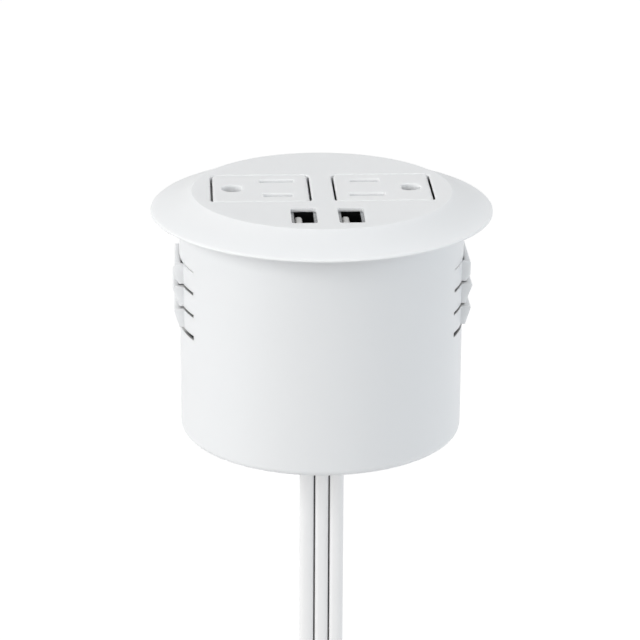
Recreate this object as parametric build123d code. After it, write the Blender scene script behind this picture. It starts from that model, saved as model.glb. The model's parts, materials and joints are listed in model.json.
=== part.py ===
from build123d import *
import math
import os

# In-desk power module: a round flange over a hole in a desktop, with two grounded
# outlets, two USB charging ports, a ribbed retaining body below and a power cord.
# Millimetres. The origin is the centre of the flange's underside, on the desktop.
# +X is right, -Y faces the user and +Z is up.

# Flange and top plate
flange_overhang = 7.6
plate_top = 5.3
disc_inset = 3.4
rim_bulge = 0.35
lip_height = 0.7
lip_bevel = 0.35
plate_wall = 2.5
spigot_depth = 4.0
spigot_wall = 1.9
seat_groove = 0.6

# Housing
body_radius = 38.4
body_depth = 62.4
body_wall = 2.0
body_floor = 2.5
body_edge = 2.0
fit_gap = 0.2

# Retaining straps on both sides of the housing
strap_top = 12.5
strap_pitch = 6.35
first_slit = 0.3
strap_slit = 0.8
last_slit = 1.2
strap_wall = 1.4
strap_half_angle = 25.0
tooth_half_angle = 13.6
tooth_nose = 0.3
tooth_reaches = (1.3, 1.9, 1.6)
tooth_lands = (3.4, 0.2, 0.2)

# Screws that hold the plate on the housing
screw_inset = 6.6
screw_angle = 50.4
screw_joint = 24.0
screw_seat = 12.0
screw_radius = 1.5
screw_length = 26.0
screw_head_radius = 3.0
screw_head_height = 2.4
column_radius = 4.2
boss_radius = 3.5
thread_gap = 0.05

# Outlets: sizes of the right one, the left one is the same turned half round
outlet_x = 16.45
outlet_y = 1.6
window_width = 26.8
window_depth = 24.4
window_corner = 2.0
window_chamfer = 0.35
face_width = 25.8
face_depth = 23.9
face_corner = 1.6
face_edge = 0.7
face_lip_width = 29.0
face_lip_depth = 26.4
face_lip_height = 2.0
blade_x = 11.9
blade_spacing = 12.7
slot_width = 2.4
slot_bevel = 0.3
line_slot = 7.7
neutral_slot = 9.1
ground_offset = 11.9
ground_hole_radius = 3.0
ground_hole_flat = 2.2

# Outlet base, behind the face
base_width = 27.4
base_depth = 26.0
base_height = 23.5
base_floor = 4.0
blade_chamber_width = 9.6
blade_chamber_depth = 5.0
ground_chamber_width = 6.2
ground_chamber_depth = 7.6

# Tamper-resistant shutter
shutter_width = 11.0
shutter_front = 8.1
shutter_back = 8.3
shutter_thickness = 1.8
shutter_tip = 0.4
shutter_travel = 3.0
shutter_window_front = 2.1
shutter_window_length = 2.6
shutter_window_width = 8.8
shutter_gap = 0.1
arm_width = 2.8
arm_half_length = 2.0
spring_strip = 0.3
spring_height = 1.2
spring_bow = 1.7
spring_foot = 0.6

# Contacts
contact_strip = 0.7
contact_grip = 1.3
contact_flare = 0.6
mouth_depth = 1.6
contact_width = 5.0
contact_top = 5.0
tab_width = 4.8
tab_drop = 6.0
ground_grip = 4.6

# USB ports, a little right of the middle
usb_middle = 0.5
usb_x = 6.2
usb_y = -23.1
usb_window_width = 6.8
usb_window_length = 12.8
usb_window_corner = 0.6
usb_plate_edge = 1.1
usb_mouth_width = 5.12
usb_mouth_length = 12.5
usb_shell_wall = 0.4
usb_rim = 0.7
usb_depth = 13.75
tongue_thickness = 2.0
tongue_length = 11.1
tongue_offset = 1.3
tongue_recess = 2.2
tongue_tip = 0.8
tongue_foot = 2.5

# Charger board and what it carries
board_thickness = 1.6
board_back = -14.5
board_front_gap = 2.3
board_half_width = 14.6
board_margin = 0.5
board_post_x = 12.8
board_post_inset = 6.3
board_post_radius = 1.9
board_screw_radius = 1.0
board_screw_length = 7.0
board_screw_head = 2.0
transformer_x = 2.2
transformer_y = -23.5
transformer_width = 12.0
transformer_height = 12.5
bobbin_margin = 2.0
bulk_capacitor_place = (-9.2, -19.3)
bulk_capacitor_radius = 4.0
bulk_capacitor_height = 16.0
output_capacitor_places = ((-7.3, -29.2), (11.4, -18.2))
output_capacitor_radius = 2.5
output_capacitor_height = 11.0

# Cord outlet and cord
cord_x = 0.4
cord_width = 12.3
cord_thickness = 4.2
core_pitch = 4.1
cord_gap = 0.1
relief_width = 16.6
relief_depth = 8.8
relief_flange = 3.0
relief_flange_height = 2.5
relief_nose_length = 9.0
relief_nose_wall = 1.1
relief_catch = 1.2
relief_catch_height = 3.4
cord_stand = 8.4
lead_radius = 1.5
lead_gap = 0.3
lead_rise = 8.0
lead_drop = 6.0

# Tied hank of the cord, hanging below the module
cord_turns = ((0.0, -145.1), (-8.3, -167.8), (-23.8, -186.3), (-44.7, -198.4))
cord_bend = 61.0
hank_height = 251.6
hank_radius = 68.5
hank_layer = 6.4
hank_inner = 57.0
hank_outer = 71.8
hank_half_width = 12.8
tie_width = 6.0
tie_thickness = 0.8
tie_gap = 0.35
tie_angles = (-90.0, 20.0)

# Plug
tail_length = 40.0
plug_neck = 14.0
plug_grip = 20.0
plug_width = 26.0
plug_thickness = 23.0
plug_taper = 3.5
plug_neck_wall = 1.5
plug_corner = 5.0
plug_blade_length = 17.5
plug_blade_thickness = 1.5
plug_line_width = 6.3
plug_neutral_width = 7.9
plug_pin_radius = 2.4
plug_pin_length = 20.5
plug_blade_offset = 4.0

# Places that follow from the sizes
flange_radius = body_radius + flange_overhang
disc_radius = body_radius - disc_inset
plate_under = plate_top - plate_wall
housing_inner = body_radius - body_wall
spigot_outer = housing_inner - fit_gap
spigot_inner = spigot_outer - spigot_wall
face_under = plate_under - face_lip_height
base_under = face_under - base_height
floor_top = body_floor - body_depth
shutter_pocket_floor = face_under - shutter_thickness - 2 * shutter_gap
usb_rim_top = plate_top - usb_plate_edge
board_top = usb_rim_top - usb_depth
board_under = board_top - board_thickness
strap_half_width = body_radius * math.sin(math.radians(strap_half_angle))
tooth_half_width = body_radius * math.sin(math.radians(tooth_half_angle))
strap_side = body_radius * math.cos(math.radians(strap_half_angle))
tooth_reach = body_radius + max(tooth_reaches)
screw_x = (housing_inner - screw_inset) * math.cos(math.radians(screw_angle))
screw_y = (housing_inner - screw_inset) * math.sin(math.radians(screw_angle))
board_front = board_front_gap - spigot_inner
board_post_y = -(((spigot_inner - board_post_inset) ** 2 - board_post_x**2) ** 0.5)
relief_nose_end = -body_depth - relief_flange_height - relief_nose_length
cord_end = cord_stand - body_depth
hank_z = -hank_height


def block(x_low, x_high, y_low, y_high, z_low, z_high):
    """A box between two corners."""
    size = (x_high - x_low, y_high - y_low, z_high - z_low)
    middle = ((x_low + x_high) / 2, (y_low + y_high) / 2, (z_low + z_high) / 2)
    return Pos(*middle) * Box(*size)


def rod(radius, z_low, z_high, x=0, y=0):
    """An upright cylinder."""
    return Pos(x, y, (z_low + z_high) / 2) * Cylinder(radius, z_high - z_low)


def pad(width, depth, corner, z_low, z_high, x=0, y=0):
    """An upright prism with rounded corners."""
    outline = Pos(x, y, z_low) * RectangleRounded(width, depth, corner)
    return extrude(outline, z_high - z_low)


def low_edges(shape):
    return shape.edges().group_by(Axis.Z)[0]


def high_edges(shape):
    return shape.edges().group_by(Axis.Z)[-1]


def corners(x, y):
    """The four mirrored places of one point."""
    return [(side * x, way * y) for side in (-1, 1) for way in (-1, 1)]


def turned(shape):
    """The same piece of the left outlet, half a turn about the module's axis."""
    return Rot(0, 0, 180) * shape


def top_plate():
    rim_edge = (flange_radius - lip_bevel, lip_height)
    lip_start = (flange_radius, lip_height - lip_bevel)
    groove_outer = body_radius + fit_gap
    outline = [
        Line((0, plate_top), (disc_radius, plate_top)),
        SagittaArc((disc_radius, plate_top), rim_edge, -rim_bulge),
        Polyline(
            rim_edge,
            lip_start,
            (flange_radius, 0),
            (groove_outer, 0),
            (groove_outer, seat_groove),
            (spigot_outer, seat_groove),
            (spigot_outer, -spigot_depth),
            (spigot_inner, -spigot_depth),
            (spigot_inner, plate_under),
            (0, plate_under),
            (0, plate_top),
        ),
    ]
    profile = Plane.XZ * make_face(outline)
    plate = revolve(profile, Axis.Z)
    for x, y in corners(screw_x, screw_y):
        plate += rod(boss_radius, -screw_joint, plate_under, x, y)
        plate -= rod(screw_radius + thread_gap, -screw_joint, screw_tip(), x, y)
    for side in (-1, 1):
        post = side * board_post_x
        plate += rod(board_post_radius, board_top, plate_under, post, board_post_y)
        pilot = board_top + board_screw_length
        plate -= rod(board_screw_radius + thread_gap, board_top, pilot, post, board_post_y)
        plate -= pad(
            window_width,
            window_depth,
            window_corner,
            plate_under,
            plate_top,
            side * outlet_x,
            outlet_y,
        )
        port = usb_middle + side * usb_x
        plate -= pad(
            usb_window_width,
            usb_window_length,
            usb_window_corner,
            plate_under,
            plate_top,
            port,
            usb_y,
        )
        plate -= pad(
            usb_rim_width() + 2 * fit_gap,
            usb_rim_length() + 2 * fit_gap,
            usb_window_corner,
            plate_under,
            usb_rim_top,
            port,
            usb_y,
        )
    return chamfer(window_edges(plate), window_chamfer)


def window_edges(plate):
    """The upper edges of the outlet windows, on the flat disc."""
    reach = outlet_x + window_width / 2 + fit_gap
    half_depth = window_depth / 2 + fit_gap
    near = high_edges(plate).filter_by_position(Axis.X, -reach, reach)
    near = near.filter_by_position(Axis.Y, outlet_y - half_depth, outlet_y + half_depth)
    return near.filter_by(
        lambda edge: edge.radius != disc_radius if edge.geom_type == GeomType.CIRCLE else True
    )


def screw_tip():
    return -screw_joint - screw_seat + screw_length + 1


def housing():
    floor = -body_depth
    outline = [
        Polyline((0, floor), (body_radius - body_edge, floor)),
        RadiusArc((body_radius - body_edge, floor), (body_radius, floor + body_edge), -body_edge),
        Polyline(
            (body_radius, floor + body_edge),
            (body_radius, seat_groove),
            (housing_inner, seat_groove),
            (housing_inner, floor_top),
            (0, floor_top),
            (0, floor),
        ),
    ]
    cup = revolve(Plane.XZ * make_face(outline), Axis.Z)
    cup += strap_teeth(0, body_radius - body_wall / 2)
    cup -= strap_teeth(strap_wall, housing_inner - fit_gap)
    cup -= strap_slits()
    for x, y in corners(screw_x, screw_y):
        seat = -screw_joint - screw_seat
        cup += rod(column_radius, floor_top, -screw_joint, x, y)
        cup -= rod(screw_radius + fit_gap, seat, -screw_joint, x, y)
        cup -= rod(screw_head_radius + fit_gap, floor, seat, x, y)
    outlet = Pos(cord_x, 0, floor) * SlotOverall(relief_width + fit_gap, relief_depth + fit_gap)
    return cup - extrude(outlet, body_floor)


def strap_places():
    """Top and bottom of each strap, from the highest slit down."""
    tops = [-strap_top - number * strap_pitch for number in range(len(tooth_reaches))]
    return [(top, top - strap_pitch + strap_slit) for top in tops]


def tooth_outline(number, inset):
    """Section of a strap's tooth, with its nose above and its ramp below."""
    top, bottom = strap_places()[number]
    reach = body_radius + tooth_reaches[number] - inset
    land_end = top - tooth_nose - tooth_lands[number]
    root = strap_side - body_wall
    return Polyline(
        (root, top),
        (reach - tooth_nose, top),
        (reach, top - tooth_nose),
        (reach, land_end),
        (body_radius - inset, bottom),
        (root, bottom),
        (root, top),
    )


def strap_teeth(inset, keep_from):
    """Flat-faced teeth on both sides, kept only outside a radius."""
    teeth = Part()
    half = tooth_half_width - inset
    for number in range(len(tooth_reaches)):
        top, bottom = strap_places()[number]
        section = Plane.XZ.offset(-half) * make_face(tooth_outline(number, inset))
        tooth = extrude(section, 2 * half) - rod(keep_from, bottom, top)
        teeth += tooth
        teeth += turned(tooth)
    return teeth


def strap_slits():
    """Through slits above each strap, and a wider one under the last."""
    heights = [first_slit] + [strap_slit] * (len(tooth_reaches) - 1) + [last_slit]
    slits = Part()
    for number, height in enumerate(heights):
        low = -strap_top - number * strap_pitch
        cut = block(
            strap_side - 2 * body_wall,
            tooth_reach + 1,
            -strap_half_width,
            strap_half_width,
            low,
            low + height,
        )
        slits += cut
        slits += turned(cut)
    return slits


def housing_screws():
    head_top = -screw_joint - screw_seat
    screws = Part()
    for x, y in corners(screw_x, screw_y):
        screw = rod(screw_radius, head_top, head_top + screw_length, x, y)
        screw += rod(screw_head_radius, head_top - screw_head_height, head_top, x, y)
        screws += screw
    return screws


def outlet_slots():
    """Length and Y place of the line and neutral slots of the right outlet."""
    half = blade_spacing / 2
    return {"line": (line_slot, half), "neutral": (neutral_slot, -half)}


def ground_x():
    return blade_x + ground_offset


def receptacle_face():
    face = pad(face_width, face_depth, face_corner, face_under, plate_top, outlet_x)
    face = fillet(high_edges(face), face_edge)
    face += pad(
        face_lip_width,
        face_lip_depth,
        face_corner,
        face_under,
        plate_under,
        outlet_x,
    )
    for length, y in outlet_slots().values():
        half = length / 2
        low, high = y - slot_width / 2, y + slot_width / 2
        face -= block(blade_x - half, blade_x + half, low, high, face_under, plate_top)
    hole = rod(ground_hole_radius, face_under, plate_top, ground_x())
    flat = ground_x() - ground_hole_flat
    hole -= block(
        flat - ground_hole_radius,
        flat,
        -ground_hole_radius,
        ground_hole_radius,
        face_under,
        plate_top,
    )
    return chamfer(slot_edges(face - hole), slot_bevel)


def slot_edges(face):
    """The upper edges of the slots and the ground hole."""
    reach = face_width / 2 - face_edge - fit_gap
    inside = high_edges(face).filter_by_position(Axis.X, outlet_x - reach, outlet_x + reach)
    return inside.filter_by_position(Axis.Y, -face_depth / 3, face_depth / 3)


def shutter_pocket():
    """Room for the shutter, its arm and its spring over the whole travel."""
    reach = shutter_width / 2 + shutter_gap
    back = shutter_back + shutter_travel + shutter_gap
    pocket = block(
        blade_x - reach,
        blade_x + reach,
        -shutter_front - shutter_gap,
        back,
        shutter_pocket_floor,
        face_under,
    )
    pocket += block(
        blade_x + reach,
        blade_x + reach + arm_width + shutter_gap,
        -arm_half_length - shutter_gap,
        back,
        shutter_pocket_floor,
        face_under,
    )
    return pocket


def receptacle_base():
    base = pad(base_width, base_depth, face_corner, base_under, face_under, outlet_x)
    base -= shutter_pocket()
    floor = base_under + base_floor
    tab = tab_width + 2 * fit_gap
    thick = contact_strip + 2 * fit_gap
    for _, y in outlet_slots().values():
        base -= block(
            blade_x - blade_chamber_width / 2,
            blade_x + blade_chamber_width / 2,
            y - blade_chamber_depth / 2,
            y + blade_chamber_depth / 2,
            floor,
            shutter_pocket_floor,
        )
        base -= block(
            blade_x - tab / 2,
            blade_x + tab / 2,
            y - thick / 2,
            y + thick / 2,
            base_under,
            floor,
        )
    base -= block(
        ground_x() - ground_chamber_width / 2,
        ground_x() + ground_chamber_width / 2,
        -ground_chamber_depth / 2,
        ground_chamber_depth / 2,
        floor,
        face_under,
    )
    base -= block(
        ground_x() - tab / 2,
        ground_x() + tab / 2,
        -thick / 2,
        thick / 2,
        base_under,
        floor,
    )
    return base


def shutter():
    """Sliding plate with a ramp under each blade slot and a side arm for its spring."""
    low = shutter_pocket_floor + shutter_gap
    high = low + shutter_thickness
    ramp = shutter_travel
    outline = Polyline(
        (-shutter_front, low),
        (-shutter_front, low + shutter_tip),
        (-shutter_front + ramp, high),
        (shutter_back, high),
        (shutter_back, low),
        (-shutter_front, low),
    )
    start = blade_x - shutter_width / 2
    plate = extrude(Plane.YZ.offset(start) * make_face(outline), shutter_width)
    window_back = shutter_window_front + shutter_window_length
    opening = Polyline(
        (shutter_window_front, low),
        (window_back, low),
        (window_back, low + shutter_tip),
        (window_back + ramp, high),
        (shutter_window_front, high),
        (shutter_window_front, low),
    )
    start = blade_x - shutter_window_width / 2
    plate -= extrude(Plane.YZ.offset(start) * make_face(opening), shutter_window_width)
    side = blade_x + shutter_width / 2
    plate += block(side, side + arm_width, -arm_half_length, arm_half_length, low, high)
    return plate


def shutter_spring():
    """Bowed leaf between the shutter's arm and the end of its pocket."""
    near = blade_x + shutter_width / 2 + shutter_gap + spring_strip
    start = arm_half_length + shutter_gap + spring_strip / 2
    end = shutter_back + shutter_travel - spring_strip / 2
    middle = (start + end) / 2
    line = Line((near + spring_foot, start), (near, start + spring_foot))
    bow = ThreePointArc(
        (near, start + spring_foot),
        (near + spring_bow, middle),
        (near, end - spring_foot),
    )
    foot = Line((near, end - spring_foot), (near + spring_foot, end))
    strip = trace(line + bow + foot, spring_strip)
    floor = shutter_pocket_floor + (face_under - shutter_pocket_floor - spring_height) / 2
    return extrude(Pos(0, 0, floor) * strip, spring_height)


def grip_contact(grip, width, x, y):
    """Folded strip with two gripping leaves, a flared mouth and a tab through the base."""
    foot = base_under + base_floor + contact_strip / 2 + fit_gap
    top = face_under - contact_top
    waist = top - mouth_depth
    half = grip / 2 + contact_strip / 2
    wide = half + contact_flare
    leaf = FilletPolyline(
        (wide, top),
        (half, waist),
        (wide, (waist + foot) / 2),
        (wide, foot),
        (-wide, foot),
        (-wide, (waist + foot) / 2),
        (-half, waist),
        (-wide, top),
        radius=contact_strip,
    )
    strip = Plane.YZ * trace(leaf, contact_strip)
    clip = extrude(Pos(x - width / 2, y, 0) * strip, width)
    clip += block(
        x - tab_width / 2,
        x + tab_width / 2,
        y - contact_strip / 2,
        y + contact_strip / 2,
        base_under - tab_drop,
        foot,
    )
    return clip


def contacts():
    """The three contacts of the right outlet by name."""
    made = {}
    for pole, (_, y) in outlet_slots().items():
        made[pole] = grip_contact(contact_grip, contact_width, blade_x, y)
    made["ground"] = grip_contact(ground_grip, contact_width, ground_x(), 0)
    return made


def usb_rim_width():
    return usb_mouth_width + 2 * (usb_shell_wall + usb_rim)


def usb_rim_length():
    return usb_mouth_length + 2 * (usb_shell_wall + usb_rim)


def usb_shell(x):
    """Metal tube with a turned-out rim under the plate."""
    wall = 2 * usb_shell_wall
    corner = usb_window_corner
    shell = pad(usb_mouth_width + wall, usb_mouth_length + wall, corner, board_top, usb_rim_top, x, usb_y)
    rim_low = usb_rim_top - usb_shell_wall
    shell += pad(usb_rim_width(), usb_rim_length(), corner, rim_low, usb_rim_top, x, usb_y)
    inner = corner - usb_shell_wall
    return shell - pad(usb_mouth_width, usb_mouth_length, inner, board_top, usb_rim_top, x, usb_y)


def usb_tongue(x):
    """Insulator block with the contact tongue."""
    width = usb_mouth_width - fit_gap
    length = usb_mouth_length - fit_gap
    foot_top = board_top + tongue_foot
    block_corner = usb_window_corner - usb_shell_wall
    tip = plate_top - tongue_recess
    tongue = block(
        x - tongue_offset - tongue_thickness / 2,
        x - tongue_offset + tongue_thickness / 2,
        usb_y - tongue_length / 2,
        usb_y + tongue_length / 2,
        foot_top - 1,
        tip,
    )
    tongue = fillet(high_edges(tongue).filter_by(Axis.Y), tongue_tip)
    return tongue + pad(width, length, block_corner, board_top, foot_top, x, usb_y)


def charger_board():
    board = block(
        -board_half_width,
        board_half_width,
        board_front,
        board_back,
        board_under,
        board_top,
    )
    board &= rod(spigot_inner - board_margin, board_under, board_top)
    for side in (-1, 1):
        hole = board_screw_radius + fit_gap
        board -= rod(hole, board_under, board_top, side * board_post_x, board_post_y)
    return board


def board_screws():
    screws = Part()
    for side in (-1, 1):
        x = side * board_post_x
        tip = board_under + board_screw_length
        screw = rod(board_screw_radius, board_under, tip, x, board_post_y)
        screw += rod(board_screw_head, board_under - board_screw_head, board_under, x, board_post_y)
        screws += screw
    return screws


def transformer():
    """Bobbin with two ferrite cheeks and a winding between them."""
    half = transformer_width / 2
    x, y = transformer_x, transformer_y
    under = board_under - transformer_height
    core = block(x - half, x + half, y - half, y + half, under, board_under)
    band_low, band_high = under + bobbin_margin, board_under - bobbin_margin
    winding = pad(
        transformer_width + bobbin_margin,
        transformer_width - 2 * bobbin_margin,
        bobbin_margin,
        band_low,
        band_high,
        x,
        y,
    )
    return core + winding


def bulk_capacitor():
    x, y = bulk_capacitor_place
    can = rod(bulk_capacitor_radius, board_under - bulk_capacitor_height, board_under, x, y)
    return chamfer(low_edges(can), face_edge)


def output_capacitors():
    cans = Part()
    for x, y in output_capacitor_places:
        cans += rod(output_capacitor_radius, board_under - output_capacitor_height, board_under, x, y)
    return cans


def lead(core_x, points):
    """Wire from one core of the cord up to a contact's tab."""
    start = (core_x, 0, cord_end)
    path = Polyline(start, *points)
    section = Plane(start, z_dir=path % 0) * Circle(lead_radius)
    return sweep(section, path, transition=Transition.RIGHT)


def leads():
    """One wire for each core, each to the nearest tab of its pole."""
    tab_end = base_under - tab_drop - lead_gap
    half = blade_spacing / 2
    back = outlet_y + half
    front = outlet_y - half
    rise = cord_end + lead_rise
    below = tab_end - lead_drop
    line_x = cord_x + core_pitch
    neutral_x = cord_x - core_pitch
    return {
        "line": lead(
            line_x,
            [(line_x, 0, rise), (blade_x, back, below), (blade_x, back, tab_end)],
        ),
        "neutral": lead(
            neutral_x,
            [(neutral_x, 0, rise), (-blade_x, back, below), (-blade_x, back, tab_end)],
        ),
        "ground": lead(
            cord_x,
            [
                (cord_x, 0, cord_end + lead_rise / 2),
                (cord_x, front, rise),
                (ground_x(), front, below),
                (ground_x(), outlet_y, tab_end - lead_drop / 2),
                (ground_x(), outlet_y, tab_end),
            ],
        ),
    }


def strain_relief():
    """Snap-in bushing round the cord: catch, neck, flange and tapered nose."""
    under = -body_depth
    flange_under = under - relief_flange_height
    at = Pos(cord_x, 0, 0)
    neck = extrude(Pos(0, 0, under) * SlotOverall(relief_width, relief_depth), body_floor)
    catch = extrude(
        Pos(0, 0, floor_top) * SlotOverall(relief_width + 2 * relief_catch, relief_depth + 2 * relief_catch),
        relief_catch_height,
        taper=math.degrees(math.atan(relief_catch / relief_catch_height)),
    )
    flange = extrude(
        Pos(0, 0, flange_under) * SlotOverall(relief_width + 2 * relief_flange, relief_depth + 2 * relief_flange),
        relief_flange_height,
    )
    flange = chamfer(low_edges(flange), face_edge)
    tip_width = cord_width + 2 * (cord_gap + relief_nose_wall)
    tip_depth = cord_thickness + 2 * (cord_gap + relief_nose_wall)
    nose = loft(
        [
            Pos(0, 0, flange_under) * SlotOverall(relief_width, relief_depth),
            Pos(0, 0, relief_nose_end) * SlotOverall(tip_width, tip_depth),
        ]
    )
    bushing = neck + catch + flange + nose
    hole = SlotOverall(cord_width + 2 * cord_gap, cord_thickness + 2 * cord_gap)
    bushing -= extrude(Pos(0, 0, relief_nose_end) * hole, floor_top + relief_catch_height - relief_nose_end)
    return at * bushing


def cord_section(start, way):
    plane = Plane(start, x_dir=(1, 0, 0), z_dir=way)
    return plane * SlotOverall(cord_width, cord_thickness)


def power_cord():
    """The hanging stretch, which bends round into the hank."""
    top = (cord_x, 0, cord_end)
    points = [(cord_x, y, z) for y, z in cord_turns]
    print("cord arc radius", cord_bend)
    return sweep(cord_section(top, (0, 0, -1)), FilletPolyline(top, *points, radius=cord_bend))


def cord_coil():
    """Outer shape of the tied hank, whose axis lies along X."""
    ring = Cylinder(hank_outer, 2 * hank_half_width) - Cylinder(hank_inner, 2 * hank_half_width)
    return Pos(0, 0, hank_z) * Rot(0, 90, 0) * ring


def cord_ties():
    """Flat bands round the hank."""
    middle = (hank_inner + hank_outer) / 2
    deep = hank_outer - hank_inner + 2 * tie_gap
    wide = 2 * (hank_half_width + tie_gap)
    ties = Part()
    for angle in tie_angles:
        band = Box(wide + 2 * tie_thickness, deep + 2 * tie_thickness, tie_width)
        band = fillet(band.edges().filter_by(Axis.Z), tie_thickness)
        band -= Box(wide, deep, tie_width)
        ties += Pos(0, 0, hank_z) * Rot(angle, 0, 0) * Pos(0, middle, 0) * band
    return ties


def tail_place():
    return (hank_layer, -hank_radius)


def tail_end():
    return hank_z - tail_length


def cord_tail():
    x, y = tail_place()
    start = (x, y, hank_z)
    return sweep(cord_section(start, (0, 0, -1)), Line(start, (x, y, tail_end())))


def plug_face():
    return tail_end() - plug_neck - plug_grip


def plug_body():
    """Moulded plug: ribbed neck that widens into the grip, blades down."""
    x, y = tail_place()
    top = tail_end()
    shoulder = top - plug_neck
    neck_width = cord_width + 2 * plug_neck_wall
    neck_depth = cord_thickness + 2 * plug_neck_wall
    waist_width = plug_width - 2 * plug_taper
    waist_depth = plug_thickness - 2 * plug_taper
    full = shoulder - plug_grip / 3
    sections = [
        Pos(x, y, top) * RectangleRounded(neck_width, neck_depth, neck_depth / 3),
        Pos(x, y, shoulder) * RectangleRounded(waist_width, waist_depth, plug_corner),
        Pos(x, y, full) * RectangleRounded(plug_width, plug_thickness, plug_corner),
        Pos(x, y, plug_face()) * RectangleRounded(plug_width, plug_thickness, plug_corner),
    ]
    return loft(sections, ruled=True)


def plug_blade(width, side):
    x, y = tail_place()
    x += side * blade_spacing / 2
    y += plug_blade_offset
    face = plug_face()
    blade = block(
        x - plug_blade_thickness / 2,
        x + plug_blade_thickness / 2,
        y - width / 2,
        y + width / 2,
        face - plug_blade_length,
        face,
    )
    return chamfer(low_edges(blade).filter_by(Axis.Y), plug_blade_thickness / 3)


def plug_ground_pin():
    x, y = tail_place()
    y += plug_blade_offset - ground_offset
    low = plug_face() - plug_pin_length
    pin = rod(plug_pin_radius, low, plug_face(), x, y)
    return chamfer(low_edges(pin), plug_pin_radius / 2)


def model():
    """Every sub-part by node name."""
    nodes = {
        "top_plate": top_plate(),
        "housing": housing(),
        "housing_screws": housing_screws(),
        "charger_board": charger_board(),
        "board_screws": board_screws(),
        "transformer": transformer(),
        "bulk_capacitor": bulk_capacitor(),
        "output_capacitors": output_capacitors(),
        "strain_relief": strain_relief(),
        "power_cord": power_cord(),
        "cord_coil": cord_coil(),
        "cord_ties": cord_ties(),
        "cord_tail": cord_tail(),
        "plug_body": plug_body(),
        "plug_line_blade": plug_blade(plug_line_width, 1),
        "plug_neutral_blade": plug_blade(plug_neutral_width, -1),
        "plug_ground_pin": plug_ground_pin(),
    }
    outlet = {
        "receptacle_face": receptacle_face(),
        "receptacle_base": receptacle_base(),
        "shutter": shutter(),
        "shutter_spring": shutter_spring(),
    }
    for pole, contact in contacts().items():
        outlet[pole + "_contact"] = contact
    for name, shape in outlet.items():
        nodes[name + "_right"] = Pos(0, outlet_y, 0) * shape
        nodes[name + "_left"] = Pos(0, outlet_y, 0) * turned(shape)
    for pole, wire in leads().items():
        nodes[pole + "_lead"] = wire
    for name, x in (("left", usb_middle - usb_x), ("right", usb_middle + usb_x)):
        nodes["usb_shell_" + name] = usb_shell(x)
        nodes["usb_tongue_" + name] = usb_tongue(x)
    return nodes


os.makedirs("parts", exist_ok=True)
for node, shape in model().items():
    export_step(shape, "parts/" + node + ".step")
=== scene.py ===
import json
import math

import bmesh
import bpy
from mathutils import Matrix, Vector

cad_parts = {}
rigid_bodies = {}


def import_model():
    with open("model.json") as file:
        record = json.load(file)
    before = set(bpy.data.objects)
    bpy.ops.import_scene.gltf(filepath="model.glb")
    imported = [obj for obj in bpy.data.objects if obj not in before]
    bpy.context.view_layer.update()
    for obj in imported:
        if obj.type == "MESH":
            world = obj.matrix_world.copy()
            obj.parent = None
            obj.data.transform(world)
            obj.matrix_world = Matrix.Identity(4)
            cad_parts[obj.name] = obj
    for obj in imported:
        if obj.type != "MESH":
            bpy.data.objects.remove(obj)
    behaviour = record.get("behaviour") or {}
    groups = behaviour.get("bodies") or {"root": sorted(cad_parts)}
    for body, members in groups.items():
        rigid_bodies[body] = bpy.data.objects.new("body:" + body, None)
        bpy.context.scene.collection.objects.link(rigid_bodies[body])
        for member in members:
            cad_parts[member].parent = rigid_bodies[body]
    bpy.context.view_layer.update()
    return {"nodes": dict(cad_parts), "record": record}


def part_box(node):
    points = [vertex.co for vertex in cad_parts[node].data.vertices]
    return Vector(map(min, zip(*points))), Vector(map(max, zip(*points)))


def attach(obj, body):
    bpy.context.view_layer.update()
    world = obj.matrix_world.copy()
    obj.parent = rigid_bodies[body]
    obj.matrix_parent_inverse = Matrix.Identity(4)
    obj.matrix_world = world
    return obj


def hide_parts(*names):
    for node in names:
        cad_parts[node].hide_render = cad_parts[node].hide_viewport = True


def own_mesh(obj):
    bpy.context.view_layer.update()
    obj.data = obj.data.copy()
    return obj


MM = 0.001

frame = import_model()
nodes = frame["nodes"]

# Photograph's camera, fitted to the flange, the body and the outlet slots
CAMERA_PLACE = (-34.78, -700.2, 220.4)
CAMERA_PITCH = 19.8
CAMERA_YAW = -2.82
CAMERA_ROLL = 0.285
CAMERA_LENS = 153.55
SENSOR_WIDTH = 36.0
CAMERA_CLIP = (0.05, 20.0)

# Cord: flat, three cores side by side with narrow grooves between them, wound in a hank,
# its angles counted along the whole winding
CORD_WIDTH = 12.3
CORD_THICKNESS = 4.2
CORE_PITCH = 4.1
CORE_CORNER = 1.2
JACKET_CORNER = 1.7
CORE_CROWN = 0.04
CORNER_STEPS = 4
GROOVE_WIDTH = 0.36
GROOVE_DEPTH = 1.3
CORD_X = 0.4
HANK_CENTRE_Z = -251.6
HANK_RADIUS = 68.5
HANK_LAYER = 6.4
TURN_PITCH = 4.7
POINTS_PER_TURN = 18
HANK_START = 120.0
HANK_END = 1620.0
TAIL_START_Z = -266.0
TAIL_END_Z = -291.6
PLUG_OVERLAP = 4

# Ports, screws, strain relief and plug, from the part's own sizes
# Port mouth, side and rim slacks and tongue foot also bound the painted shade inside the ports
PORT_MOUTH = 5.12
PORT_SIDE_SLACK = 0.05
RIM_SLACK = 0.1
TONGUE_FOOT = 2.6
TONGUE_TIP_DROP = 1.2
STRIP_X = -0.26
STRIP_THICKNESS = 0.16
STRIP_WIDTH = 1.0
STRIP_LENGTH = 7.4
STRIP_PITCH = 2.4
STRIP_COUNT = 4
SCREW_HEAD_RADIUS = 3.0
SCREW_HEAD_HEIGHT = 2.4
SCREW_RADIUS = 1.5
RELIEF_RIB_TOP = -67.2
PLUG_RIB_DROP = 2.0

# Transformer: height of its cheeks, and how much a taped face looks sideways
CHEEK_HEIGHT = 2.1
TAPE_FACING = 0.3

# Outlets, and the walls of the gaps at their sides, measured from an outlet's middle
OUTLET_X = 16.45
GAP_WALLS = (12.9, 13.4)
WALL_SLACK = 0.05
WALL_FACING = 0.9

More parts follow.
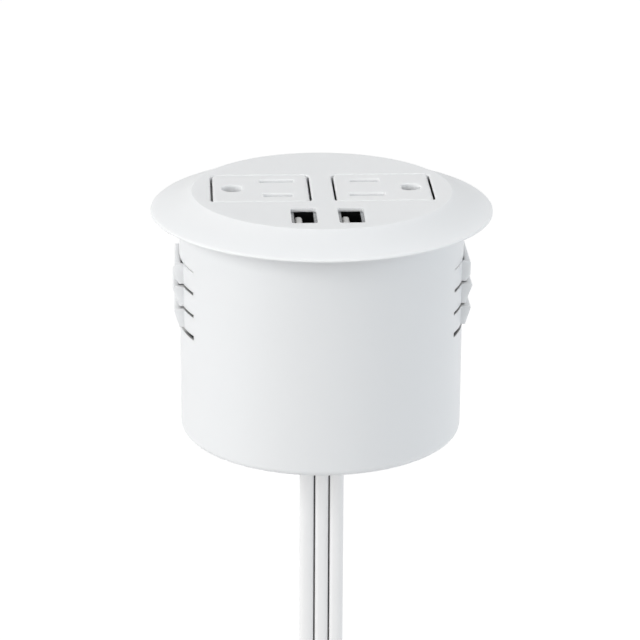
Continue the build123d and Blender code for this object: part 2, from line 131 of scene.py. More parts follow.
# Body, the zone of the lower strap slits in its wall, and their shade, which sets in
# beyond the sides of the teeth
BODY_RADIUS = 38.4
BODY_SKIN = 0.2
SLIT_ZONE = (-50.0, -13.0)
SLIT_FADE = 1.0
SLIT_LEVELS = (0.02, 0.6)
TOOTH_SIDE = (8.0, 11.0)
TOOTH_SIDE_LEVELS = (0.84, 0.0)

# Distance under which a copied node's corners are one point
WELD = 0.002

# Ties round the hank
TIE_ANGLES = (-90.0, 20.0)
TIE_WIDTH = 6.0
TIE_THICKNESS = 0.8
TIE_CORNER = 1.6
TIE_CORNER_STEPS = 5
TIE_EDGE = 0.2
TIE_SLACK = 0.15

# Studio: pale floor, surrounding light, and the point that the lamps face
FLOOR_Z = -1200.0
FLOOR_RADIUS = 6
FLOOR_GREY = 0.72
FLOOR_GLOW = 0.54
WORLD_LEVELS = (0.65, 1.0)
LAMP_AIM = (0, 0, -0.03)


def metres(points):
    """Points in millimetres, turned into metres."""
    return [tuple(value * MM for value in point) for point in points]


def add_object(name, data):
    made = bpy.data.objects.new(name, data)
    bpy.context.scene.collection.objects.link(made)
    return made


def plain_mesh(source, name):
    """A mesh copy of an evaluated object or curve."""
    graph = bpy.context.evaluated_depsgraph_get()
    mesh = bpy.data.meshes.new_from_object(source.evaluated_get(graph), depsgraph=graph)
    mesh.name = name
    return mesh


def settle(mesh, name):
    """Ends an edit mesh and returns it as mesh data."""
    data = bpy.data.meshes.new(name)
    mesh.to_mesh(data)
    mesh.free()
    return data


def smooth(data, sharp_angle):
    """Smooth shading, except over edges sharper than an angle in degrees."""
    data.shade_smooth()
    data.set_sharp_from_angle(angle=math.radians(sharp_angle))


# Materials


class Finish:
    """A material with helpers for the node patterns that the finishes share."""

    def __init__(self, name, colour, roughness, **settings):
        self.material = bpy.data.materials.new(name)
        self.material.use_nodes = True
        self.tree = self.material.node_tree
        self.shader = self.tree.nodes["Principled BSDF"]
        self.shader.inputs["Base Color"].default_value = (*colour, 1)
        self.shader.inputs["Roughness"].default_value = roughness
        for socket, value in settings.items():
            self.shader.inputs[socket.replace("_", " ")].default_value = value
        self.colour = colour
        self.roughness = roughness
        self.place = self.tree.nodes.new("ShaderNodeTexCoord").outputs["Object"]
        self.material.diffuse_color = (*colour, 1)

    def noise(self, scale, detail=2.0, stretch=(1, 1, 1)):
        """Soft random pattern on the piece's own coordinates."""
        mapping = self.tree.nodes.new("ShaderNodeMapping")
        mapping.inputs["Scale"].default_value = stretch
        self.tree.links.new(self.place, mapping.inputs["Vector"])
        noise = self.tree.nodes.new("ShaderNodeTexNoise")
        noise.inputs["Scale"].default_value = scale
        noise.inputs["Detail"].default_value = detail
        self.tree.links.new(mapping.outputs["Vector"], noise.inputs["Vector"])
        return noise.outputs["Fac"]

    def mottle(self, scale, amount):
        """Slow change of colour over the surface."""
        mix = self.tree.nodes.new("ShaderNodeMix")
        mix.data_type = "RGBA"
        dark = [channel * (1 - amount) for channel in self.colour]
        mix.inputs["A"].default_value = (*dark, 1)
        mix.inputs["B"].default_value = (*self.colour, 1)
        self.tree.links.new(self.noise(scale), mix.inputs["Factor"])
        self.tree.links.new(mix.outputs["Result"], self.shader.inputs["Base Color"])
        return self

    def sheen_change(self, scale, amount, stretch=(1, 1, 1)):
        """Change of roughness over the surface."""
        spread = self.tree.nodes.new("ShaderNodeMapRange")
        spread.inputs["To Min"].default_value = self.roughness - amount
        spread.inputs["To Max"].default_value = self.roughness + amount
        self.tree.links.new(self.noise(scale, 3.0, stretch), spread.inputs["Value"])
        self.tree.links.new(spread.outputs["Result"], self.shader.inputs["Roughness"])
        return self

    def grain(self, scale, depth, stretch=(1, 1, 1)):
        """Fine relief, its depth in millimetres."""
        bump = self.tree.nodes.new("ShaderNodeBump")
        bump.inputs["Distance"].default_value = depth * MM
        bump.inputs["Strength"].default_value = 0.6
        self.tree.links.new(self.noise(scale, 2.0, stretch), bump.inputs["Height"])
        self.tree.links.new(bump.outputs["Normal"], self.shader.inputs["Normal"])
        return self

    def spread(self, value, span, levels):
        """Turns a length, between two in millimetres, into a level between two others."""
        made = self.tree.nodes.new("ShaderNodeMapRange")
        made.inputs["From Min"].default_value = span[0] * MM
        made.inputs["From Max"].default_value = span[1] * MM
        made.inputs["To Min"].default_value = levels[0]
        made.inputs["To Max"].default_value = levels[1]
        self.tree.links.new(value, made.inputs["Value"])
        return made.outputs["Result"]

    def reckon(self, operation, *values):
        """Result of a math node on linked values."""
        made = self.tree.nodes.new("ShaderNodeMath")
        made.operation = operation
        for value, socket in zip(values, made.inputs):
            self.tree.links.new(value, socket)
        return made.outputs["Value"]


def plastic(name, colour, roughness, grain_scale=2600, grain_depth=0.012, **settings):
    """Moulded plastic or vinyl, with a fine grain."""
    finish = Finish(name, colour, roughness, **settings)
    finish.mottle(scale=28, amount=0.018).sheen_change(scale=60, amount=0.03)
    return finish.grain(grain_scale, grain_depth).material


def metal(name, colour, roughness, stretch=(1, 1, 1)):
    """Metal, its brushing drawn out along the axis where stretch is small."""
    finish = Finish(name, colour, roughness, Metallic=1.0)
    finish.mottle(scale=120, amount=0.08).sheen_change(scale=900, amount=0.07, stretch=stretch)
    return finish.grain(scale=1800, depth=0.004, stretch=stretch).material


def soft_plastic(name, colour, roughness, depth):
    """Plastic that light enters by about a depth in millimetres."""
    return plastic(
        name,
        colour,
        roughness,
        Subsurface_Weight=1.0,
        Subsurface_Radius=(1, 1, 1),
        Subsurface_Scale=depth * MM,
    )


def make_materials():
    """One finish for every material slot of the record."""
    return {
        "white_abs": soft_plastic("satin_white_shell", (0.836, 0.847, 0.855), 0.4, 1.3),
        "white_thermoplastic": soft_plastic("satin_white_outlet", (0.845, 0.855, 0.862), 0.36, 2.0),
        "white_nylon": plastic("moulded_white_nylon", (0.8, 0.8, 0.79), 0.5, 1500, 0.02),
        "shutter_plastic": soft_plastic("slippery_white_shutter", (0.88, 0.88, 0.87), 0.42, 2.0),
        "spring_steel": metal("spring_strip", (0.62, 0.62, 0.63), 0.3),
        "screw_steel": metal("zinc_screw", (0.66, 0.67, 0.69), 0.34),
        "contact_brass": metal("pressed_brass", (0.78, 0.6, 0.3), 0.3),
        "usb_steel": metal("nickel_shell", (0.4, 0.41, 0.42), 0.26, (1, 1, 0.1)),
        "tongue_plastic": plastic("port_insulator", (0.84, 0.84, 0.83), 0.5),
        "board_laminate": plastic("green_board", (0.05, 0.22, 0.09), 0.35, 900, 0.03),
        "ferrite": plastic("ferrite_and_tape", (0.05, 0.05, 0.05), 0.6, 700, 0.05),
        "capacitor_sleeve": plastic("capacitor_sleeve", (0.03, 0.035, 0.06), 0.3),
        "lead_black": plastic("black_insulation", (0.02, 0.02, 0.02), 0.45),
        "lead_white": plastic("white_insulation", (0.8, 0.8, 0.78), 0.45),
        "lead_green": plastic("green_insulation", (0.03, 0.24, 0.07), 0.45),
        "cord_jacket": plastic("vinyl_jacket", (0.9, 0.9, 0.9), 0.42, 900, 0.02),
        "tie_plastic": plastic("tie_strip", (0.7, 0.7, 0.7), 0.6, 700, 0.08),
        "plug_vinyl": plastic("moulded_vinyl", (0.8, 0.8, 0.8), 0.48, 800, 0.03),
        "blade_nickel": metal("nickel_blade", (0.74, 0.73, 0.69), 0.24, (1, 1, 0.1)),
        "pin_brass": metal("turned_brass", (0.76, 0.6, 0.33), 0.26, (1, 1, 0.2)),
    }


def dress_nodes(materials):
    """Gives every frame node the finish of its material slot."""
    for part in frame["record"]["subparts"]:
        piece = nodes[part["node"]]
        piece.data.materials.clear()
        piece.data.materials.append(materials[part["material_slot"]])


def darken_ports(dark):
    """Painted shade, nearly black, on the inside and the front and back rims of both port shells and
    on the foot of each tongue, where the ports fall dark.
    """
    for side in ("left", "right"):
        low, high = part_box("usb_shell_" + side)
        middle = (low[0] + high[0]) / 2
        inner = (PORT_MOUTH / 2 + PORT_SIDE_SLACK) * MM
        for name in ("usb_shell_" + side, "usb_tongue_" + side):
            mesh = nodes[name].data
            mesh.materials.append(dark)
            bottom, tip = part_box(name)
            top = tip[2] + RIM_SLACK * MM if "shell" in name else bottom[2] + TONGUE_FOOT * MM
            for face in mesh.polygons:
                if abs(face.center.x - middle) < inner and face.center.z < top:
                    face.material_index = 1


def darken_gaps(dark):
    """Shade on the upright walls of the gaps at the left and right of each outlet."""
    for name in ("top_plate", "receptacle_face_left", "receptacle_face_right"):
        mesh = nodes[name].data
        mesh.materials.append(dark)
        for face in mesh.polygons:
            reach = abs(abs(face.center.x) - OUTLET_X * MM)
            misses = [abs(reach - wall * MM) for wall in GAP_WALLS]
            if abs(face.normal.x) > WALL_FACING and min(misses) < WALL_SLACK * MM:
                face.material_index = 1


def tape_winding(tape):
    """Yellow tape on the transformer's winding, between its ferrite cheeks."""
    mesh = nodes["transformer"].data
    mesh.materials.append(tape)
    low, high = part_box("transformer")
    lowest = low[2] + CHEEK_HEIGHT * MM
    highest = high[2] - CHEEK_HEIGHT * MM
    for face in mesh.polygons:
        if lowest < face.center.z < highest and abs(face.normal.x) > TAPE_FACING:
            face.material_index = 1


def slit_shade():
    """White at the body's outer face and beside the teeth, dark further in."""
    finish = Finish("slit_shade", (0.02, 0.02, 0.02), 0.7, Specular_IOR_Level=0.1)
    tree = finish.tree
    parts = tree.nodes.new("ShaderNodeSeparateXYZ")
    tree.links.new(finish.place, parts.inputs["Vector"])
    level = tree.nodes.new("ShaderNodeCombineXYZ")
    tree.links.new(parts.outputs["X"], level.inputs["X"])
    tree.links.new(parts.outputs["Y"], level.inputs["Y"])
    reach = tree.nodes.new("ShaderNodeVectorMath")
    reach.operation = "LENGTH"
    tree.links.new(level.outputs["Vector"], reach.inputs[0])
    faded = (BODY_RADIUS - SLIT_FADE, BODY_RADIUS)
    inwards = finish.spread(reach.outputs["Value"], faded, SLIT_LEVELS)
    side = finish.reckon("ABSOLUTE", parts.outputs["Y"])
    beside = finish.spread(side, TOOTH_SIDE, TOOTH_SIDE_LEVELS)
    lighter = finish.reckon("MAXIMUM", inwards, beside)
    tree.links.new(lighter, finish.shader.inputs["Base Color"])
    return finish.material


def darken_slits():
    """Shade on the cut faces of the lower strap slits and on the wall behind them."""
    mesh = nodes["housing"].data
    mesh.materials.append(slit_shade())
    lowest, highest = SLIT_ZONE
    for face in mesh.polygons:
        within = lowest * MM < face.center.z < highest * MM
        if within and face.center.xy.length < (BODY_RADIUS - BODY_SKIN) * MM:
            face.material_index = 1


# Repeated details, each grown by a node tree with named sizes


class Recipe:
    """A node tree whose named sizes are set on a modifier, then made a plain mesh."""

    KINDS = {int: "NodeSocketInt", float: "NodeSocketFloat", tuple: "NodeSocketVector"}

    def __init__(self, name, **sizes):
        self.tree = bpy.data.node_groups.new(name, "GeometryNodeTree")
        self.tree.interface.new_socket("Geometry", in_out="OUTPUT", socket_type="NodeSocketGeometry")
        self.ids = {}
        for label, value in sizes.items():
            kind = self.KINDS.get(type(value), "NodeSocketMaterial")
            socket = self.tree.interface.new_socket(label, in_out="INPUT", socket_type=kind)
            self.ids[label] = socket.identifier
        self.sizes = sizes
        self.entry = self.tree.nodes.new("NodeGroupInput")

    def size(self, label):
        """Socket of one named size."""
        return self.entry.outputs[label]

    def add(self, kind, inputs, **settings):
        """One node; its inputs are sockets to link or plain values."""
        made = self.tree.nodes.new(kind)
        for setting, value in settings.items():
            setattr(made, setting, value)
        for key, value in inputs.items():
            if isinstance(value, bpy.types.NodeSocket):
                self.tree.links.new(value, made.inputs[key])
            else:
                made.inputs[key].default_value = value
        return made.outputs[0]

    def join(self, *parts):
        """Several shapes as one."""
        made = self.tree.nodes.new("GeometryNodeJoinGeometry")
        for part in parts:
            self.tree.links.new(part, made.inputs[0])
        return made.outputs[0]

    def close(self, shape):
        """Ends the tree with real geometry that carries its material."""
        real = self.add("GeometryNodeRealizeInstances", {"Geometry": shape})
        painted = self.add(
            "GeometryNodeSetMaterial",
            {"Geometry": real, "Material": self.size("material")},
        )
        ending = self.tree.nodes.new("NodeGroupOutput")
        self.tree.links.new(painted, ending.inputs[0])

    def grow(self, name, slot, **changes):
        """The recipe's mesh with some sizes changed, riding on the module."""
        host = add_object(name, bpy.data.meshes.new(name))
        modifier = host.modifiers.new("recipe", "NODES")
        modifier.node_group = self.tree
        for label, value in (self.sizes | changes).items():
            modifier[self.ids[label]] = value
        mesh = plain_mesh(host, name)
        bpy.data.objects.remove(host)
        piece = add_object(name, mesh)
        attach(piece, "module")
        return piece


def rib_recipe(material):
    """Rounded bands one below the other, each larger or smaller than the last."""
    recipe = Recipe(
        "grip_ribs",
        width=0.016,
        depth=0.008,
        corner=0.003,
        thickness=0.0008,
        count=5,
        top=(0.0, 0.0, 0.0),
        step=(0.0, 0.0, -0.002),
        growth=(0.0, 0.0, 0.0),
        material=material,
    )
    outline = recipe.add(
        "GeometryNodeCurvePrimitiveQuadrilateral",
        {"Width": recipe.size("width"), "Height": recipe.size("depth")},
    )
    rounded = recipe.add(
        "GeometryNodeFilletCurve",
        {"Curve": outline, "Radius": recipe.size("corner"), "Count": 6},
        mode="POLY",
    )
    places = recipe.add(
        "GeometryNodeMeshLine",
        {
            "Count": recipe.size("count"),
            "Start Location": recipe.size("top"),
            "Offset": recipe.size("step"),
        },
    )
    number = recipe.add("GeometryNodeInputIndex", {})
    scale = recipe.add(
        "ShaderNodeVectorMath",
        {0: recipe.size("growth"), 1: number, 2: (1, 1, 1)},
        operation="MULTIPLY_ADD",
    )
    bands = recipe.add(
        "GeometryNodeInstanceOnPoints",
        {"Points": places, "Instance": rounded, "Scale": scale},
    )
    lines = recipe.add("GeometryNodeRealizeInstances", {"Geometry": bands})
    section = recipe.add(
        "GeometryNodeCurvePrimitiveCircle",
        {"Resolution": 8, "Radius": recipe.size("thickness")},
    )
    recipe.close(recipe.add("GeometryNodeCurveToMesh", {"Curve": lines, "Profile Curve": section}))
    return recipe


def strip_recipe(material):
    """Flat contact strips side by side on a port's tongue."""
    recipe = Recipe(
        "contact_strips",
        strip=(0.00016, 0.001, 0.0074),
        count=4,
        first=(0.0, 0.0, 0.0),
        step=(0.0, 0.0024, 0.0),
        material=material,
    )
    strip = recipe.add("GeometryNodeMeshCube", {"Size": recipe.size("strip")})
    places = recipe.add(
        "GeometryNodeMeshLine",
        {
            "Count": recipe.size("count"),
            "Start Location": recipe.size("first"),
            "Offset": recipe.size("step"),
        },
    )
    recipe.close(recipe.add("GeometryNodeInstanceOnPoints", {"Points": places, "Instance": strip}))
    return recipe


def screw_recipe(material):
    """Pan-head screws with a cross recess at the corners of a rectangle, heads down."""
    recipe = Recipe(
        "case_screws",
        spread_x=0.038,
        spread_y=0.046,
        centre=(0.0, 0.0, 0.0),
        head_radius=0.003,
        face_radius=0.0024,
        head_height=0.0024,
        shank_radius=0.0015,
        shank_length=0.026,
        recess=(0.0034, 0.0007, 0.0026),
        material=material,
    )
    head = recipe.add(
        "GeometryNodeMeshCone",
        {
            "Vertices": 40,
            "Radius Top": recipe.size("head_radius"),
            "Radius Bottom": recipe.size("face_radius"),
            "Depth": recipe.size("head_height"),
        },
    )
    bar = recipe.add("GeometryNodeMeshCube", {"Size": recipe.size("recess")})
    crossbar = recipe.add(
        "GeometryNodeTransform",
        {"Geometry": bar, "Rotation": (0, 0, math.pi / 2)},
    )
    cross = recipe.add(
        "GeometryNodeMeshBoolean",
        {"Mesh 2": recipe.join(bar, crossbar)},
        operation="UNION",
    )
    recessed = recipe.add(
        "GeometryNodeMeshBoolean",
        {"Mesh 1": head, "Mesh 2": cross},
        operation="DIFFERENCE",
    )
    shank = recipe.add(
        "GeometryNodeMeshCylinder",
        {
            "Vertices": 24,
            "Radius": recipe.size("shank_radius"),
            "Depth": recipe.size("shank_length"),
        },
    )
    half = recipe.add(
        "ShaderNodeMath",
        {0: recipe.size("shank_length"), 1: 0.5},
        operation="MULTIPLY",
    )
    rise = recipe.add(
        "ShaderNodeMath",
        {0: half, 1: recipe.size("head_height")},
        operation="ADD",
    )
    lift = recipe.add("ShaderNodeCombineXYZ", {"Z": rise})
    raised = recipe.add("GeometryNodeTransform", {"Geometry": shank, "Translation": lift})
    grid = recipe.add(
        "GeometryNodeMeshGrid",
        {
            "Size X": recipe.size("spread_x"),
            "Size Y": recipe.size("spread_y"),
            "Vertices X": 2,
            "Vertices Y": 2,
        },
    )
    placed = recipe.add(
        "GeometryNodeTransform",
        {"Geometry": grid, "Translation": recipe.size("centre")},
    )
    screw = recipe.join(recessed, raised)
    recipe.close(recipe.add("GeometryNodeInstanceOnPoints", {"Points": placed, "Instance": screw}))
    return recipe


def make_ribs(materials):
    """Ribs on the plug's neck and on the strain relief."""
    ribs = rib_recipe(materials["plug_vinyl"])
    ribs.grow(
        "plug_neck_ribs",
        "plug_vinyl",
        width=0.0160,
        depth=0.0086,
        corner=0.0026,
        thickness=0.0007,
        count=5,
        top=(HANK_LAYER * MM, -HANK_RADIUS * MM, (TAIL_END_Z - PLUG_RIB_DROP) * MM),
        step=(0.0, 0.0, -0.0023),
        growth=(0.043, 0.17, 0.0),
    )
    ribs.grow(
        "relief_ribs",
        "white_nylon",
        width=0.0163,
        depth=0.0086,
        corner=0.0041,
        thickness=0.0006,
        count=3,
        top=(CORD_X * MM, 0.0, RELIEF_RIB_TOP * MM),
        step=(0.0, 0.0, -0.0024),
        growth=(-0.03, -0.063, 0.0),
        material=materials["white_nylon"],
    )


def make_strips(materials):
    """Contact strips in both ports."""
    strips = strip_recipe(materials["contact_brass"])
    for side in ("left", "right"):
        low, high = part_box("usb_tongue_" + side)
        shell_low, shell_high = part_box("usb_shell_" + side)
        first_strip = (
            (shell_low[0] + shell_high[0]) / 2 + STRIP_X * MM,
            (low[1] + high[1]) / 2 - (STRIP_COUNT - 1) / 2 * STRIP_PITCH * MM,
            high[2] - (TONGUE_TIP_DROP + STRIP_LENGTH / 2) * MM,
        )
        strips.grow(
            "contact_strips_" + side,
            "contact_brass",
            strip=(STRIP_THICKNESS * MM, STRIP_WIDTH * MM, STRIP_LENGTH * MM),
            count=STRIP_COUNT,
            first=first_strip,
            step=(0.0, STRIP_PITCH * MM, 0.0),
        )


def make_screws(materials):
    """Case screws with a cross recess, in place of the plain ones."""
    low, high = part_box("housing_screws")
    screws = screw_recipe(materials["screw_steel"]).grow(
        "case_screws",
        "screw_steel",
        spread_x=high[0] - low[0] - 2 * SCREW_HEAD_RADIUS * MM,
        spread_y=high[1] - low[1] - 2 * SCREW_HEAD_RADIUS * MM,
        centre=(0.0, 0.0, low[2]),
        head_radius=SCREW_HEAD_RADIUS * MM,
        head_height=SCREW_HEAD_HEIGHT * MM,
        shank_radius=SCREW_RADIUS * MM,
        shank_length=high[2] - low[2] - SCREW_HEAD_HEIGHT * MM,
    )
    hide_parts("housing_screws")


def make_springs(materials):
    """Leaf springs as welded copies riding on the module, in place of the plain ones."""
    for joint in frame["record"]["behaviour"]["joints"]:
        for row in joint["deforming_nodes"]:
            name, fixed = row["node"], row["fixed_end_y_m"]
            mesh = bmesh.new()
            mesh.from_mesh(nodes[name].data)
            bmesh.ops.remove_doubles(mesh, verts=mesh.verts, dist=WELD * MM)
            data = settle(mesh, "folding_" + name)
            data.materials.clear()
            data.materials.append(materials["spring_steel"])
            smooth(data, 30)
            spring = add_object("folding_" + name, data)
            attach(spring, "module")
            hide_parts(name)
            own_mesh(spring)


# Cord


def hang_points():
    """Control points from the strain relief down to the hank."""
    return [
        (CORD_X, 0, -54.0),
        (CORD_X, 0, -84.0),
        (CORD_X, 0, -116.0),
        (CORD_X, 0, -145.1),
        (-2.6, -8.3, -167.8),
        (-6.1, -23.8, -186.3),
    ]


def turn_radius(angle):
    """Radius of the turns at an angle along the whole winding, smallest halfway."""
    middle = (HANK_START + HANK_END) / 2
    inwards = (middle - HANK_START - abs(angle - middle)) / 360.0
    return HANK_RADIUS - TURN_PITCH * inwards


def hank_points():
    """Turns of the hank: inwards in the left layer, then outwards in the right one."""
    step = 360.0 / POINTS_PER_TURN
    count = round((HANK_END - HANK_START) / step)
    stretch = 1 / math.cos(math.radians(step / 2))
    middle = count / 2
    half_crossing = POINTS_PER_TURN / 3
    points = []
    for number in range(count):
        along = HANK_START + (number + 0.5) * step
        radius = turn_radius(along)
        side = min(max((number - middle) / half_crossing, -1.0), 1.0)
        angle = math.radians(along)
        points.append(
            (
                HANK_LAYER * side,
                radius * stretch * math.cos(angle),
                HANK_CENTRE_Z + radius * stretch * math.sin(angle),
            )
        )
    return points


def tail_points():
    """Straight end of the cord, from the hank into the plug."""
    return [
        (HANK_LAYER, -HANK_RADIUS, TAIL_START_Z),
        (HANK_LAYER, -HANK_RADIUS, TAIL_END_Z - PLUG_OVERLAP),
    ]


def cord_line():
    """The cord's middle line as a curve."""
    points = metres(hang_points() + hank_points() + tail_points())
    curve = bpy.data.curves.new("cord_line", "CURVE")
    curve.dimensions = "3D"
    curve.resolution_u = 6
    spline = curve.splines.new("NURBS")
    spline.points.add(len(points) - 1)
    for spot, point in zip(spline.points, points):
        spot.co = (*point, 1)
    spline.order_u = 3
    spline.use_endpoint_u = True
    return add_object("cord_line", curve)


def jacket_outline():
    """Section of the three cores, across and through the flat cord."""
    face = CORD_THICKNESS / 2
    half = (CORE_PITCH - GROOVE_WIDTH) / 2
    edge = CORD_WIDTH / 2 - CORE_PITCH
    outline = []
    for side in (1, -1):
        for core in (1, 0, -1):
            right = edge if core == 1 else half
            left = edge if core == -1 else half
            right_corner = JACKET_CORNER if core == 1 else CORE_CORNER
            left_corner = JACKET_CORNER if core == -1 else CORE_CORNER
            if core < 1:
                outline.append((side * (core * CORE_PITCH + right), side * (face - GROOVE_DEPTH)))
            for number in range(CORNER_STEPS + 1):
                angle = math.radians(90 * number / CORNER_STEPS)
                across = core * CORE_PITCH + right - right_corner * (1 - math.cos(angle))
                outline.append((side * across, side * (face - right_corner * (1 - math.sin(angle)))))
            outline.append((side * core * CORE_PITCH, side * (face + CORE_CROWN)))
            for number in range(CORNER_STEPS + 1):
                angle = math.radians(90 + 90 * number / CORNER_STEPS)
                across = core * CORE_PITCH - left + left_corner * (1 + math.cos(angle))
                outline.append((side * across, side * (face - left_corner * (1 - math.sin(angle)))))
            if core > -1:
                outline.append((side * (core * CORE_PITCH - left), side * (face - GROOVE_DEPTH)))
    return outline


def cord_mesh(line):
    """Three-rib section swept along the line, its broad side facing out of the hank."""
    centre = [vertex.co.copy() for vertex in plain_mesh(line, "cord_centre").vertices]
    outline = jacket_outline()
    mesh = bmesh.new()
    rings = []
    for number, point in enumerate(centre):
        ahead = centre[min(number + 1, len(centre) - 1)]
        behind = centre[max(number - 1, 0)]
        way = (ahead - behind).normalized()
        across = Vector((1, 0, 0))
        across = (across - way * across.dot(way)).normalized()
        through = way.cross(across)
        rings.append([mesh.verts.new(point + across * u * MM + through * v * MM) for u, v in outline])
    for first, second in zip(rings, rings[1:]):
        for spot in range(len(outline)):
            after = (spot + 1) % len(outline)
            mesh.faces.new((first[spot], first[after], second[after], second[spot]))
    mesh.faces.new(list(reversed(rings[0])))
    mesh.faces.new(rings[-1])
    deep = CORD_THICKNESS / 2 - GROOVE_DEPTH * 0.99
    floor_spots = [abs(v) <= deep and abs(u) < CORE_PITCH for u, v in outline]
    next_spots = floor_spots[1:] + floor_spots[:1]
    floor_sides = [here or beyond for here, beyond in zip(floor_spots, next_spots)]
    ends = [False, False]
    in_groove = floor_sides * (len(rings) - 1) + ends
    bmesh.ops.recalc_face_normals(mesh, faces=mesh.faces)
    data = settle(mesh, "flat_cord")
    smooth(data, 50)
    for face, shaded in zip(data.polygons, in_groove):
        face.material_index = int(shaded)
    return data, centre


def make_cord(materials):
    """The whole cord as one piece, in place of the plain solids."""
    ties = make_ties(materials)
    line = cord_line()
    data, centre = cord_mesh(line)
    bpy.data.objects.remove(line)
    cord = add_object("flat_cord", data)
    cord.data.materials.append(materials["cord_jacket"])
    cord.data.materials.append(plastic("groove_shade", (0.06, 0.06, 0.065), 0.7))
    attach(cord, "module")
    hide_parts("power_cord", "cord_coil", "cord_tail")


def tie_band(name, angle, finish):
    """A flat band drawn tight round the turns at one angle of the hank."""
    passes = [angle + 360.0 * turn for turn in range(-1, 6)]
    radii = [turn_radius(along) for along in passes if HANK_START < along < HANK_END]
    reach = (CORD_THICKNESS + TIE_THICKNESS) / 2 + TIE_SLACK
    low, high = min(radii) - reach, max(radii) + reach
    half = HANK_LAYER + CORD_WIDTH / 2 + TIE_THICKNESS / 2 + TIE_SLACK
    outline = []
    for x, y, turn in ((1, 1, 0), (-1, 1, 90), (-1, -1, 180), (1, -1, 270)):
        corner_x = x * (half - TIE_CORNER)
        corner_y = (high if y > 0 else low) - y * TIE_CORNER
        for number in range(TIE_CORNER_STEPS + 1):
            bend = math.radians(turn + 90 * number / TIE_CORNER_STEPS)
            across = corner_x + TIE_CORNER * math.cos(bend)
            outwards = corner_y + TIE_CORNER * math.sin(bend)
            outline.append((across, outwards))
    out = Vector((0, math.cos(math.radians(angle)), math.sin(math.radians(angle))))
    along = Vector((0, -out.z, out.y))
    centre = Vector((0, 0, HANK_CENTRE_Z))
    mesh = bmesh.new()
    rows = []
    for edge in (-1, 1):
        aside = along * edge * TIE_WIDTH / 2
        spots = [centre + out * radius + aside + Vector((x, 0, 0)) for x, radius in outline]
        rows.append([mesh.verts.new(spot * MM) for spot in spots])
    for spot in range(len(outline)):
        after = (spot + 1) % len(outline)
        mesh.faces.new((rows[0][spot], rows[0][after], rows[1][after], rows[1][spot]))
    bmesh.ops.recalc_face_normals(mesh, faces=mesh.faces)
    data = settle(mesh, name)
    smooth(data, 50)
    band = add_object(name, data)
    data.materials.append(finish)
    wall = band.modifiers.new("wall", "SOLIDIFY")
    wall.thickness = TIE_THICKNESS * MM
    wall.offset = 0
    edge = band.modifiers.new("edge", "BEVEL")
    edge.width = TIE_EDGE * MM
    edge.segments = 2
    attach(band, "module")
    return band


def make_ties(materials):
    """Both ties, the first of which stands for the CAD model's pair."""
    bands = [
        tie_band("cord_tie_%d" % number, angle, materials["tie_plastic"])
        for number, angle in enumerate(TIE_ANGLES)
    ]
    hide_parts("cord_ties")
    return bands


# Studio


def make_camera():
    """The camera at the photograph's place and angle."""
    data = bpy.data.cameras.new("photograph_camera")
    data.lens = CAMERA_LENS
    data.sensor_width = SENSOR_WIDTH
    data.clip_start, data.clip_end = CAMERA_CLIP
    camera = add_object("photograph_camera", data)
    camera.location = metres([CAMERA_PLACE])[0]
    camera.rotation_mode = "XYZ"
    camera.rotation_euler = (
        math.radians(90 - CAMERA_PITCH),
        0,
        math.radians(CAMERA_YAW),
    )
    camera.rotation_euler.rotate_axis("Z", math.radians(CAMERA_ROLL))
    bpy.context.scene.camera = camera


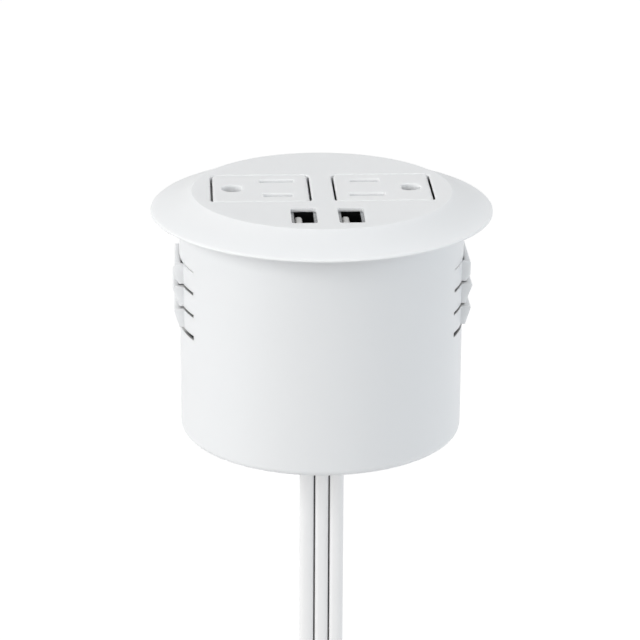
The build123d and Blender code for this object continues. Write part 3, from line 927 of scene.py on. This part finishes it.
def make_floor():
    """A pale floor far below, lit up a little where the camera or a reflection sees it."""
    mesh = bmesh.new()
    bmesh.ops.create_circle(mesh, cap_ends=True, radius=FLOOR_RADIUS, segments=96)
    floor = add_object("pale_floor", settle(mesh, "pale_floor"))
    floor.location = (0, 0, FLOOR_Z * MM)
    material = bpy.data.materials.new("pale_floor")
    material.use_nodes = True
    tree = material.node_tree
    base = tree.nodes["Principled BSDF"]
    base.inputs["Base Color"].default_value = (FLOOR_GREY, FLOOR_GREY, FLOOR_GREY, 1)
    base.inputs["Roughness"].default_value = 0.9
    glow = tree.nodes.new("ShaderNodeEmission")
    rays = tree.nodes.new("ShaderNodeLightPath")
    seen = tree.nodes.new("ShaderNodeMath")
    seen.operation = "MAXIMUM"
    tree.links.new(rays.outputs["Is Camera Ray"], seen.inputs[0])
    tree.links.new(rays.outputs["Is Glossy Ray"], seen.inputs[1])
    scale = tree.nodes.new("ShaderNodeMath")
    scale.operation = "MULTIPLY"
    scale.inputs[1].default_value = FLOOR_GLOW
    tree.links.new(seen.outputs[0], scale.inputs[0])
    tree.links.new(scale.outputs[0], glow.inputs["Strength"])
    add = tree.nodes.new("ShaderNodeAddShader")
    tree.links.new(base.outputs[0], add.inputs[0])
    tree.links.new(glow.outputs[0], add.inputs[1])
    tree.links.new(add.outputs[0], tree.nodes["Material Output"].inputs["Surface"])
    floor.data.materials.append(material)


def make_world():
    """White surroundings, brighter to the camera than as light on the piece."""
    world = bpy.data.worlds.new("studio")
    bpy.context.scene.world = world
    world.use_nodes = True
    tree = world.node_tree
    back = tree.nodes["Background"]
    back.inputs["Color"].default_value = (1, 1, 1, 1)
    rays = tree.nodes.new("ShaderNodeLightPath")
    level = tree.nodes.new("ShaderNodeMapRange")
    level.inputs["To Min"].default_value, level.inputs["To Max"].default_value = WORLD_LEVELS
    tree.links.new(rays.outputs["Is Camera Ray"], level.inputs["Value"])
    tree.links.new(level.outputs["Result"], back.inputs["Strength"])


def add_softbox(name, place, size, watts, colour=(1, 1, 1)):
    """A rectangular lamp that faces the module."""
    data = bpy.data.lights.new(name, "AREA")
    data.shape = "RECTANGLE"
    data.size, data.size_y = size
    data.energy = watts
    data.color = colour
    lamp = add_object(name, data)
    lamp.location = place
    aim = Vector(LAMP_AIM) - Vector(place)
    lamp.rotation_mode = "QUATERNION"
    lamp.rotation_quaternion = aim.to_track_quat("-Z", "Y")


def make_studio():
    make_camera()
    make_floor()
    make_world()
    add_softbox("key_softbox", (-1.3, -0.8, 0.6), (0.9, 0.9), 14.2)
    add_softbox("top_softbox", (0, 0.2, 1.6), (1.6, 1.6), 2.5)
    add_softbox("cool_side", (1.4, -0.4, 0.2), (0.9, 0.9), 5.8, (0.84, 0.92, 1.0))
    bpy.context.scene.view_settings.view_transform = "Standard"


def main():
    materials = make_materials()
    dress_nodes(materials)
    # Nearly black painted shade inside the ports
    darken_ports(plastic("painted_port_shade", (0.004, 0.004, 0.0045), 0.8, Specular_IOR_Level=0.1))
    darken_slits()
    darken_gaps(plastic("gap_shade", (0.03, 0.03, 0.032), 0.7, Specular_IOR_Level=0.1))
    tape_winding(plastic("yellow_tape", (0.72, 0.5, 0.06), 0.35))
    make_studio()
    make_cord(materials)
    make_ribs(materials)
    make_strips(materials)
    make_screws(materials)
    make_springs(materials)


main()
